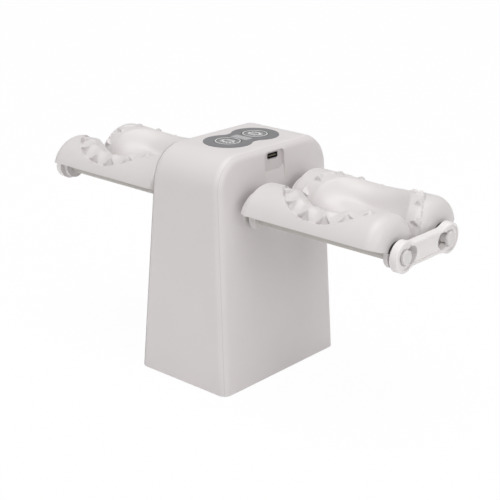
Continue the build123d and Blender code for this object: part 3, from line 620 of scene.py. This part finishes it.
def moon_sign(mesh, centre_y, way):
    """A half-moon outline with seven crimp ticks, a hair above the cap's low dome."""
    moon_flat = -0.0012
    moon_inner = 0.0034
    moon_outer = 0.0041
    dome_reach = 0.0058
    dome_fall = 0.00025
    print_depth = 0.00006
    made_before = set(mesh.verts)
    ends = [mesh.verts.new((moon_flat, -reach, 0.0)) for reach in (moon_outer, moon_inner)]
    end_edge = mesh.edges.new(ends)
    bmesh.ops.spin(
        mesh, geom=ends + [end_edge], cent=(moon_flat, 0, 0), axis=(0, 0, 1), angle=pi, steps=24,
    )
    marks = [(-0.0015, 0.0006, 0.0082, 0.0), (-0.0030, 0.0006, 0.0060, 0.0)]
    for tick in range(7):
        marks.append((0.0036, 0.0013, 0.0006, radians(-72 + 24 * tick)))
    for x, length, width, turn in marks:
        made = bmesh.ops.create_grid(mesh, x_segments=1, y_segments=8, size=0.5)["verts"]
        bmesh.ops.scale(mesh, verts=made, vec=(length, width, 1.0))
        bmesh.ops.translate(mesh, verts=made, vec=(x, 0.0, 0.0))
        turned = Matrix.Rotation(turn, 3, "Z")
        bmesh.ops.rotate(mesh, verts=made, cent=(moon_flat, 0, 0), matrix=turned)
    made = [vert for vert in mesh.verts if vert not in made_before]
    towards_row = Matrix.Rotation(way * pi / 2, 3, "Z")
    bmesh.ops.rotate(mesh, verts=made, cent=(0, 0, 0), matrix=towards_row)
    for vert in made:
        reach = hypot(vert.co.x, vert.co.y) / dome_reach
        vert.co.z = cap_top + print_rise - dome_fall * reach ** 3
    bmesh.ops.translate(mesh, verts=made, vec=(0.0, centre_y, 0.0))
    walls = bmesh.ops.extrude_face_region(mesh, geom=faces_of(made), use_keep_orig=True)
    lowered = [item for item in walls["geom"] if isinstance(item, bmesh.types.BMVert)]
    bmesh.ops.translate(mesh, verts=lowered, vec=(0, 0, -print_depth))


for row_name, way in (("front", -1), ("rear", 1)):
    mesh = bmesh.new()
    spun(mesh, cap_profile, (0.0, way * cap_y, 0.0), steps=72)
    cap = make_piece(f"cap_{row_name}", mesh, cap_grey, f"key_{row_name}")
    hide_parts(f"button_{row_name}")
    mesh = bmesh.new()
    closed_ring = ring_profile + ring_profile[:1]
    spun(mesh, closed_ring, (0.0, way * cap_y, 0.0), steps=72)
    moon_sign(mesh, way * cap_y, way)
    make_piece(f"print_{row_name}", mesh, print_white, f"key_{row_name}")


# Each arm has a gear frame, a plate pressed from steel sheet and screwed to its side cover. It
# carries a small geared motor: a steel can with flat sides, and a brass box of reduction gears.
give(zinc, "gear_frame_right", "gear_frame_left")


def motor_finish(side):
    """Steel on the can, and brass plates on the gearbox with painted shade in the gaps between
    them.
    """
    gearbox_start = 3.5
    gearbox_end = 12.51
    plate_pitch = 1.5
    finish = Finish("motor_finish")
    x, _, _ = finish.axes()
    along = side * x
    gearbox = finish.maths("GREATER_THAN", along, gearbox_start)
    stack = finish.maths("PINGPONG", along - gearbox_start, plate_pitch)
    plate = finish.maths("LESS_THAN", stack, plate_pitch / 2)
    beyond = finish.maths("GREATER_THAN", along, gearbox_end)
    solid = finish.maths("MAXIMUM", plate, beyond)
    clouds = finish.noise(0.003, detail=3.0)
    # The dark brown between the plates is painted shade in the gaps.
    brass_and_painted_gap_shade = finish.mix(solid, (0.10, 0.08, 0.05), (0.66, 0.50, 0.25))
    steel = finish.mix(clouds, (0.46, 0.46, 0.45), (0.56, 0.56, 0.55))
    return finish.set(
        colour=finish.mix(gearbox, steel, brass_and_painted_gap_shade),
        roughness=0.25 + 0.15 * clouds,
        metallic=1.0,
        normal=finish.bump(gearbox * (1.0 - solid), 0.0003, strength=0.6),
    )


axis_spread = 0.021
tab_width = 0.0016
tab_spread = 0.0035
tab_faces = (0.0102, 0.0106)
tab_low = 0.0763
tab_high = 0.0780
mesh = bmesh.new()
for side in (-1, 1):
    motor_y = -side * axis_spread
    low_x, high_x = sorted(-side * face for face in tab_faces)
    for low_y in (motor_y - tab_spread, motor_y + tab_spread - tab_width):
        low = (low_x, low_y, tab_low)
        high = (high_x, low_y + tab_width, tab_high)
        add_block(mesh, low, high, round_by=0.0001)
make_piece("motor_tabs", mesh, contact_nickel, "housing")
for side_name, side in (("right", 1), ("left", -1)):
    give(motor_finish(side), f"motor_{side_name}")


# Thin stranded wires run from the board's connectors down to the motors' tabs and to the
# battery contacts. Each pair is a red wire and a black one in soft sleeving.
wire_radius = 0.0005


def add_wire(mesh, stops):
    """A round wire through some points, with its corners eased by repeated halving."""
    path = [Vector(stop) for stop in stops]
    for _ in range(3):
        eased = [path[0]]
        for start, end in zip(path, path[1:]):
            eased.append(start.lerp(end, 0.25))
            eased.append(start.lerp(end, 0.75))
        path = eased + [path[-1]]
    last_ring = []
    for index, middle in enumerate(path):
        ahead = path[min(index + 1, len(path) - 1)] - path[max(index - 1, 0)]
        turn = Vector((0, 0, 1)).rotation_difference(ahead).to_matrix().to_4x4()
        is_end = index in (0, len(path) - 1)
        made = bmesh.ops.create_circle(mesh, cap_ends=is_end, segments=10, radius=wire_radius)
        bmesh.ops.transform(mesh, matrix=Matrix.Translation(middle) @ turn, verts=made["verts"])
        ring = edges_of(made["verts"])
        if last_ring:
            bmesh.ops.bridge_loops(mesh, edges=last_ring + ring)
        last_ring = ring


wire_red = moulded_plastic("wire_red", (0.42, 0.03, 0.03), (0.36, 0.025, 0.025), 0.45)
wire_black = moulded_plastic("wire_black", (0.030, 0.030, 0.030), (0.024, 0.024, 0.024), 0.45)
for colour_name, material, shift in (("red", wire_red, -1), ("black", wire_black, 1)):
    mesh = bmesh.new()
    for side in (-1, 1):
        y = -side * axis_spread + shift * 0.0027
        add_wire(mesh, [
            (-side * 0.0080 + shift * 0.0012, -side * 0.0260, 0.1250),
            (-side * 0.0080 + shift * 0.0012, -side * 0.0262, 0.1150),
            (-side * 0.0090, y - side * 0.004, 0.0950),
            (-side * 0.0104, y, 0.0850),
            (-side * 0.0104, y, 0.0775),
        ])
    x = 0.0088 + shift * 0.0010
    add_wire(mesh, [
        (x, 0.0262, 0.1250),
        (x, 0.0285, 0.1160),
        (x, 0.0400, 0.1000),
        (x, 0.0400, 0.0300),
        (x, 0.0345, 0.0220),
        (x, 0.0331, 0.0188),
    ])
    make_piece(f"wires_{colour_name}", mesh, material, "housing")


# Two gears turn against each other in each arm, and the motor's pinion drives one of them. They
# are moulded in undyed nylon. The bushings that carry the axles in the side covers are white.
natural_nylon = moulded_plastic("natural_nylon", (0.80, 0.78, 0.70), (0.74, 0.72, 0.63), 0.38)
give(natural_nylon, "pinion_right", "pinion_left")
for side_name in ("right", "left"):
    give(natural_nylon, f"gear_{side_name}_front", f"gear_{side_name}_rear")
bushing_white = moulded_plastic("bushing_white", (0.73, 0.71, 0.705), (0.70, 0.68, 0.675), 0.36)
give(bushing_white, "bushings_right", "bushings_left")


# Each roll turns with a straight moulded axle, which shows as a strip below the roll's edge. The
# shaft is painted grey-beige as painted shade under the roll. Its rounded white head holds the end
# link.
def axle_finish(side):
    """Grey-beige painted shade along the shaft, and the head's plain lighter white beyond the
    link.
    """
    finish = Finish("axle_finish")
    x, _, _ = finish.axes()
    at_head = finish.node(
        "ShaderNodeMapRange",
        inputs={"Value": side * x, "From Min": 127.0, "From Max": 128.2},
    )
    clouds = finish.noise(0.01, detail=3.0)
    fine = finish.noise(0.0003, detail=1.0)
    # The shaft's grey-beige is painted shade from the roll over it, darker than the axle's own
    # white.
    painted_shaft_shade = finish.mix(clouds, (0.500, 0.475, 0.445), (0.550, 0.525, 0.495))
    return finish.set(
        colour=finish.mix(at_head, painted_shaft_shade, (0.725, 0.703, 0.697)),
        roughness=0.36 + 0.1 * clouds,
        normal=finish.bump(fine, 0.00001),
    )


for side_name, side in (("right", 1), ("left", -1)):
    give(axle_finish(side), f"axle_{side_name}_front", f"axle_{side_name}_rear")


# Each roll is a half-round shell in white plastic, moulded in one with its ends, ribs and hub.
# Its half-moon cavity has a crimped edge: the front rolls have pleated pockets there, and the
# rear rolls have teeth that stand up and fit into them.
mould_white = moulded_plastic("mould_white", (0.715, 0.686, 0.680), (0.690, 0.661, 0.655), 0.36)
axis_height = 0.103
roll_radius = 0.0208
roll_root = 0.0354
roll_end = 0.1255
root_round = 0.003
end_round = 0.008
roll_skin = 0.0026
skin_foot = 0.0066
shoulder_start = 0.03104
shoulder_radius = 0.0152
shoulder_lap = 0.0005
hub_radius = 0.0074
axle_bore = 0.0040
end_wall = 0.0026
rib_places = (0.0579, 0.0805, 0.1030)
rib_half = 0.001
rib_foot = 0.0065
rib_least = 0.0068
rib_lap = 0.0004
around_steps = 132
first_angle = radians(-18.0)

cavity_middle = 0.0825
cavity_half = 0.0415
cavity_round = roll_radius * radians(145.0)
seam_start = roll_radius * radians(-9.0)
seam_end = roll_radius * radians(-7.0)
ledge_depth = 0.0009
rim_slope = 0.0005
crimp_pitch = 0.0136
crimp_base = 0.0047
crimp_reach = 0.0066
crimp_count = 10
tooth_height = 0.0020
pocket_depth = 0.0024
pleat_height = 0.0009
bowl_margin = 0.0075
bowl_depth = 0.0116
bowl_lip = 0.0002


def ease(value, low, high):
    """A smooth step from 0 at the low value to 1 at the high value."""
    share = min(max((value - low) / (high - low), 0.0), 1.0)
    return share * share * (3 - 2 * share)


rim_samples = 180
rim_lengths = [0.0]
for sample in range(1, rim_samples + 1):
    turns = [(sample - 1) * pi / 2 / rim_samples, sample * pi / 2 / rim_samples]
    (x, y), (next_x, next_y) = [(cavity_half * sin(t), cavity_round * cos(t)) for t in turns]
    rim_lengths.append(rim_lengths[-1] + hypot(next_x - x, next_y - y))


def rim_length(turn):
    """The length of the cavity's rim from its far end to a turn, either way."""
    place = min(abs(turn) * 2 * rim_samples / pi, rim_samples - 0.001)
    low = int(place)
    length = rim_lengths[low] + (rim_lengths[low + 1] - rim_lengths[low]) * (place - low)
    return length if turn > 0 else -length


def crimp_depth(row, inward, length):
    """How far the crimp lies below the ledge, by the distance from the rim and the place on it."""
    tooth = length / crimp_pitch
    offset = abs(tooth - floor(tooth) - 0.5) * crimp_pitch
    present = 1 - ease(abs(tooth), crimp_count / 2 - 0.12, crimp_count / 2)
    tooth_share = 1 - inward / crimp_reach - offset / crimp_base
    if row > 0:
        rise = ease(tooth_share, 0.0, 0.55) * ease(inward, 0.0003, 0.0017)
        return -tooth_height * rise * present
    pocket = pocket_depth * (1 - inward / crimp_reach) * ease(tooth_share, 0.0, 0.14)
    crest = 0.5 + 0.5 * cos(2 * pi * offset / crimp_pitch)
    fade = ease(inward, 0.0020, 0.0070) * (1 - ease(inward, 0.0100, 0.0200))
    pleat = pleat_height * (crest - 0.4) * fade
    return (max(pocket, 0.0) - pleat) * present * ease(inward, 0.0, 0.0004)


def cavity_depth(row, x, around, crimped):
    """How deep a roll's surface lies under its full radius, at a point of the unrolled skin."""
    if around > 0:
        reach = max(hypot(x / cavity_half, around / cavity_round), 0.001)
        slope = hypot(x / cavity_half ** 2, around / cavity_round ** 2) / reach
        inward = (1 - reach) / slope
    else:
        inward = cavity_half - abs(x)
    depth = ledge_depth * ease(inward, 0.0, rim_slope) * ease(around, seam_start, seam_end)
    share = around / (cavity_round - bowl_margin)
    if 0 < share < 1:
        half_width = (cavity_half - bowl_margin) * sqrt(1 - share ** 2)
        across = max(1 - (x / half_width) ** 2, 0.0)
        depth += max(bowl_depth * sin(pi * share) ** 1.5 * across ** 1.3 - bowl_lip, 0.0)
    if crimped and inward > 0 and around > 0:
        length = rim_length(atan2(x / cavity_half, around / cavity_round))
        depth += crimp_depth(row, inward, length)
    return depth


# The outline of a roll, from its hub over both rounded ends: place along the arm, radius, and
# the outward direction there.
straight_start = roll_root + root_round
straight_end = roll_end - end_round
straight_steps = 160
outline = []
for step in range(4):
    rise = (roll_radius - root_round - skin_foot) * step / 4
    outline.append((roll_root, skin_foot + rise, -1.0, 0.0))
for step in range(6):
    turn = pi / 2 * step / 5
    x = straight_start - root_round * cos(turn)
    radius = roll_radius - root_round + root_round * sin(turn)
    outline.append((x, radius, -cos(turn), sin(turn)))
for step in range(1, straight_steps):
    x = straight_start + (straight_end - straight_start) * step / straight_steps
    outline.append((x, roll_radius, 0.0, 1.0))
for step in range(15):
    turn = pi / 2 * step / 14
    x = straight_end + end_round * sin(turn)
    radius = roll_radius - end_round + end_round * cos(turn)
    outline.append((x, radius, sin(turn), cos(turn)))
for step in range(1, 4):
    fall = (roll_radius - end_round - skin_foot) * step / 3
    outline.append((roll_end, roll_radius - end_round - fall, 1.0, 0.0))


def roll_point(row, x, radius, angle):
    """A point of a right roll, by its radius and its angle about the axis from the seam."""
    y = row * axis_spread - row * radius * cos(angle)
    return Vector((x, y, axis_height + radius * sin(angle)))


def roll_skin_mesh(mesh, row):
    """The roll's outer and inner skins, joined along their borders."""
    columns = len(outline) - 1
    borders = []
    for depth_in, crimped in ((0.0, True), (roll_skin, False)):
        grid = bmesh.ops.create_grid(mesh, x_segments=columns, y_segments=around_steps, size=1.0)
        for vert in grid["verts"]:
            x, radius, out_x, out_r = outline[round((vert.co.x + 1) / 2 * columns)]
            angle = first_angle + (vert.co.y + 1) / 2 * pi
            depth = cavity_depth(row, x - cavity_middle, roll_radius * angle, crimped)
            radius -= depth_in * out_r + depth
            vert.co = roll_point(row, x - depth_in * out_x, radius, angle)
        borders += border_of(grid["verts"])
    bmesh.ops.bridge_loops(mesh, edges=borders)


def hub_ring(mesh, row, start, end, outer, full=False):
    """A half or full ring about a roll's axis, bored for the axle."""
    corners = [(start, axle_bore), (end, axle_bore), (end, outer), (start, outer)]
    ring = [mesh.verts.new(roll_point(row, x, radius, first_angle)) for x, radius in corners]
    edges = [mesh.edges.new((ring[i], ring[(i + 1) % 4])) for i in range(4)]
    swept = bmesh.ops.spin(
        mesh,
        geom=ring + edges,
        cent=(0.0, row * axis_spread, axis_height),
        axis=(-row, 0.0, 0.0),
        angle=2 * pi if full else pi,
        steps=64 if full else 32,
        use_merge=full,
    )
    if not full:
        last = [item for item in swept["geom_last"] if isinstance(item, bmesh.types.BMVert)]
        bmesh.ops.contextual_create(mesh, geom=ring)
        bmesh.ops.contextual_create(mesh, geom=last)


def roll_rib(mesh, row, x):
    """A cross rib between the hub and the back of the skin."""
    borders = []
    for shift in (-rib_half, rib_half):
        grid = bmesh.ops.create_grid(mesh, x_segments=3, y_segments=48, size=1.0)
        for vert in grid["verts"]:
            angle = first_angle + (vert.co.y + 1) / 2 * pi
            depth = cavity_depth(row, x - cavity_middle, roll_radius * angle, False)
            top = max(roll_radius - roll_skin - depth + rib_lap, rib_least)
            radius = rib_foot + (top - rib_foot) * (vert.co.x + 1) / 2
            vert.co = roll_point(row, x + shift, radius, angle)
        borders += border_of(grid["verts"])
    bmesh.ops.bridge_loops(mesh, edges=borders)


for row_name, row in (("front", -1), ("rear", 1)):
    right_mesh = bmesh.new()
    roll_skin_mesh(right_mesh, row)
    hub_ring(right_mesh, row, roll_root, roll_end, hub_radius)
    hub_ring(right_mesh, row, shoulder_start, roll_root + shoulder_lap, shoulder_radius)
    hub_ring(right_mesh, row, shoulder_start, roll_root, hub_radius, full=True)
    hub_ring(right_mesh, row, roll_end - end_wall, roll_end, hub_radius, full=True)
    for x in rib_places:
        roll_rib(right_mesh, row, x)
    left_mesh = right_mesh.copy()
    bmesh.ops.scale(left_mesh, vec=(-1.0, 1.0, 1.0), verts=left_mesh.verts)
    for side_name, mesh in (("right", right_mesh), ("left", left_mesh)):
        name = f"{side_name}_{row_name}"
        roll = make_piece(f"roll_{name}", mesh, mould_white, f"roll_{name}")
        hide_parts(f"mould_{name}")


# A link ties the free ends of each arm's two axles. It's a dog-bone plate in white plastic with
# a raised rim, and each head is passed through a keyhole and slid into its seat.
link_white = moulded_plastic("link_white", (0.840, 0.811, 0.803), (0.815, 0.786, 0.778), 0.36)
give(link_white, "end_link_right", "end_link_left")


# The studio is a sheet of white paper under a white surround. Both look white to the camera,
# and the surround and four large lamps light the object evenly.
floor_mesh = bmesh.new()
bmesh.ops.create_grid(floor_mesh, x_segments=2, y_segments=2, size=3.0)
floor_data = bpy.data.meshes.new("studio_floor")
floor_mesh.to_mesh(floor_data)
floor_mesh.free()
studio_floor = bpy.data.objects.new("studio_floor", floor_data)
bpy.context.scene.collection.objects.link(studio_floor)
floor_glow = 0.97
paper = Finish("studio_paper")
fibres = paper.noise(0.002, detail=4.0)
paper.set(colour=paper.mix(fibres, (0.90, 0.90, 0.90), (0.93, 0.93, 0.93)), roughness=0.9)
camera_ray = paper.node("ShaderNodeLightPath")
glow = paper.node("ShaderNodeEmission", inputs={"Color": (1.0, 1.0, 1.0, 1.0), "Strength": 1.0})
surface = paper.node(
    "ShaderNodeMixShader",
    inputs={0: floor_glow * camera_ray, 1: Wire(paper, paper.shader.outputs[0]), 2: glow},
)
paper.feed(paper.tree.nodes["Material Output"].inputs["Surface"], surface)
floor_data.materials.append(paper.material)

world = bpy.data.worlds.new("studio_world")
bpy.context.scene.world = world
world.use_nodes = True
sky = world.node_tree
for node in list(sky.nodes):
    sky.nodes.remove(node)
sky_out = sky.nodes.new("ShaderNodeOutputWorld")
sky_path = sky.nodes.new("ShaderNodeLightPath")
sky_light = sky.nodes.new("ShaderNodeBackground")
sky_white = sky.nodes.new("ShaderNodeBackground")
sky_mix = sky.nodes.new("ShaderNodeMixShader")
surround_strength = 0.45
seen_strength = 1.0
for background, strength in ((sky_light, surround_strength), (sky_white, seen_strength)):
    background.inputs["Color"].default_value = (1.0, 1.0, 1.0, 1.0)
    background.inputs["Strength"].default_value = strength
sky.links.new(sky_path.outputs["Is Camera Ray"], sky_mix.inputs[0])
sky.links.new(sky_light.outputs[0], sky_mix.inputs[1])
sky.links.new(sky_white.outputs[0], sky_mix.inputs[2])
sky.links.new(sky_mix.outputs[0], sky_out.inputs["Surface"])


def soft_lamp(name, place, size, power, mirrored=True):
    """A square lamp that faces the middle of the object, with or without a sheen on it."""
    lamp = bpy.data.lights.new(name, "AREA")
    lamp.size = size
    lamp.energy = power
    piece = bpy.data.objects.new(name, lamp)
    piece.location = place
    aim = Vector((0.0, 0.0, 0.08)) - Vector(place)
    piece.rotation_euler = aim.to_track_quat("-Z", "Y").to_euler()
    piece.visible_glossy = mirrored
    bpy.context.scene.collection.objects.link(piece)


soft_lamp("lamp_above", (0.05, -0.2, 2.0), 1.4, 20.0)
soft_lamp("lamp_front", (0.7, -2.0, 2.2), 1.2, 8.5)
soft_lamp("lamp_right", (2.2, -0.4, 1.2), 1.2, 11.0)
soft_lamp("lamp_behind", (-1.5, 1.8, 0.5), 0.8, 4.0, mirrored=False)
